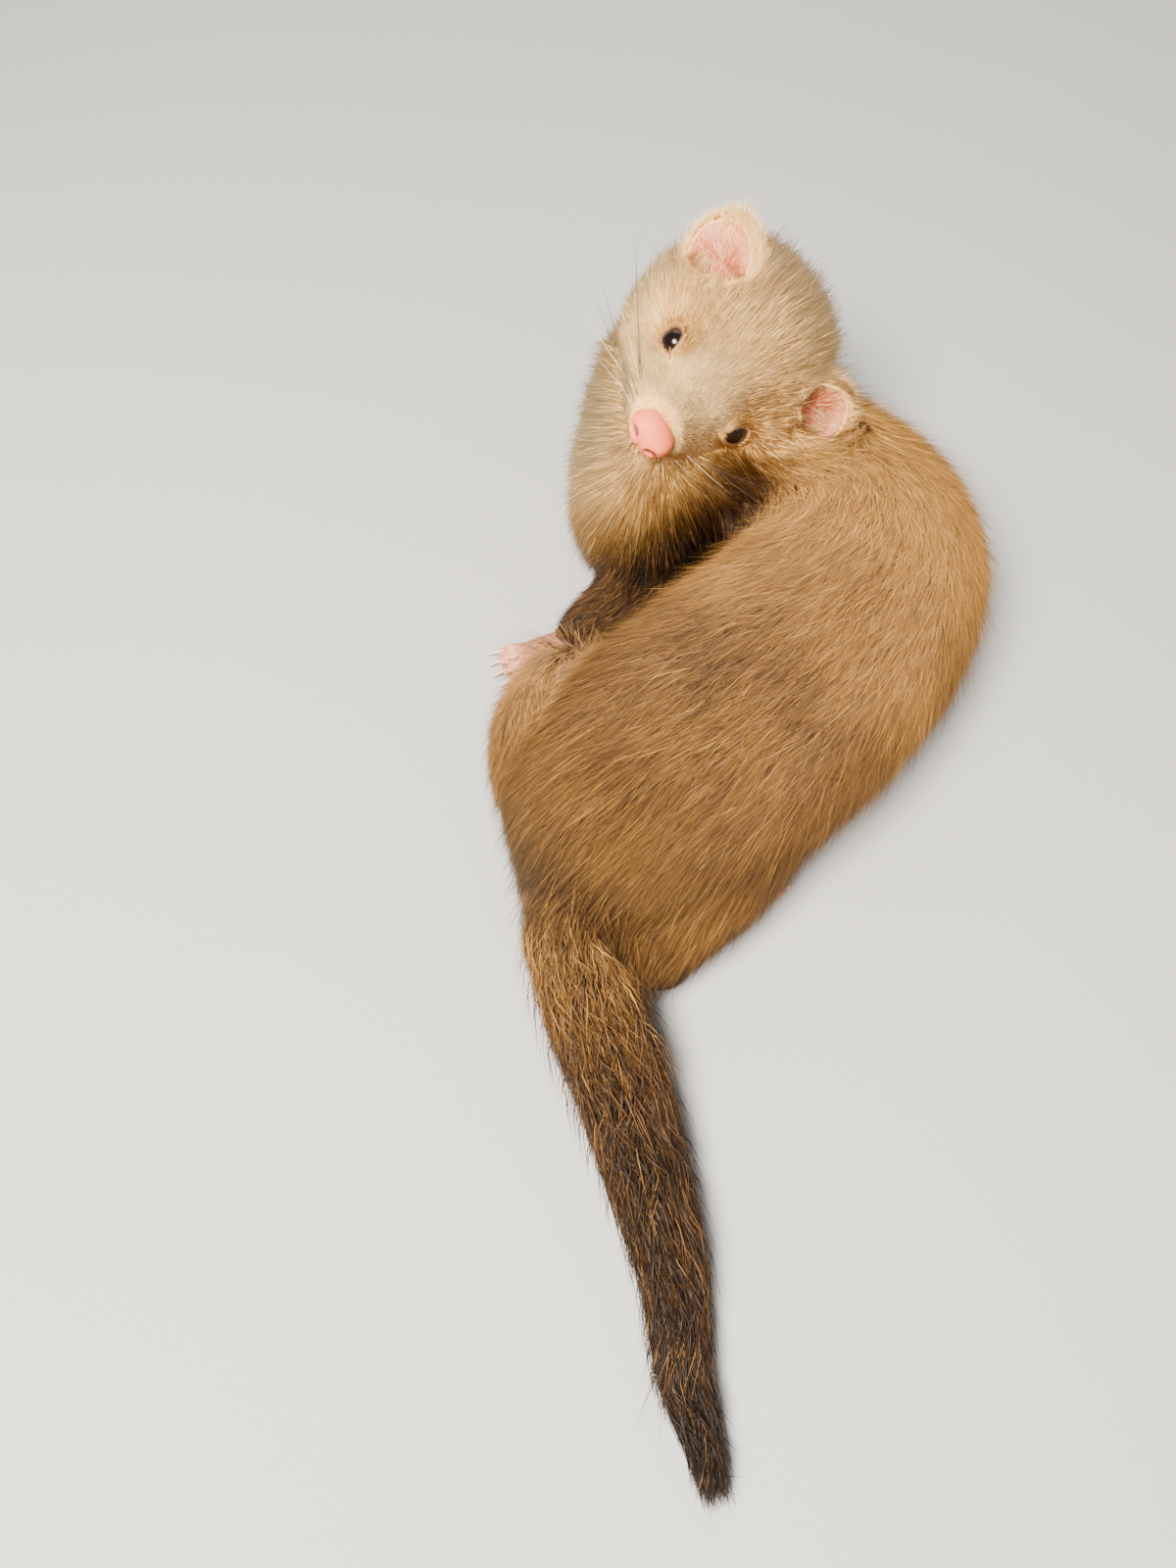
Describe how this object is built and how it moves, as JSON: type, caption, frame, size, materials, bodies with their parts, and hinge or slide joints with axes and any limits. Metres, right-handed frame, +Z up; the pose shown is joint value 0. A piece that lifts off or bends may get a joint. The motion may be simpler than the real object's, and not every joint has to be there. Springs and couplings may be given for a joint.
{
  "type": "ferret",
  "caption": "Life-size ferret with a golden coat and dark tail, curled on the floor with its head raised and turned back.",
  "frame": {"origin": "on the floor, under the loin, at the resting face", "axes": "+Z up, away from the floor; -Y the way the tail points; +X to the right as seen from behind the tail, the side that the back bows to"},
  "size_m": [0.1543, 0.327, 0.1049],
  "materials": {
    "coat_golden": "soft dense fur, golden brown",
    "coat_dark": "soft dense fur, dark brown",
    "coat_cream": "short fur, pale cream",
    "bare_skin": "bare pink skin with pale claws, slightly moist",
    "eye": "wet, very dark brown"
  },
  "bodies": {
    "root": {"rump": "coat_golden", "loin": "coat_golden", "ribs": "coat_golden", "shoulders": "coat_golden", "chest": "coat_dark", "neck": "coat_golden", "head": "coat_cream", "nose": "bare_skin", "ear_left": "coat_cream", "ear_right": "coat_cream", "eye_left": "eye", "eye_right": "eye", "hind_leg_left": "coat_golden", "hind_leg_right": "coat_golden", "fore_leg_left": "coat_dark", "fore_leg_right": "coat_dark", "hind_foot_left": "bare_skin", "hind_foot_right": "bare_skin", "fore_foot_left": "bare_skin", "fore_foot_right": "bare_skin", "tail_root": "coat_golden", "tail_middle": "coat_dark", "tail_tip": "coat_dark"}
  },
  "joints": []
}
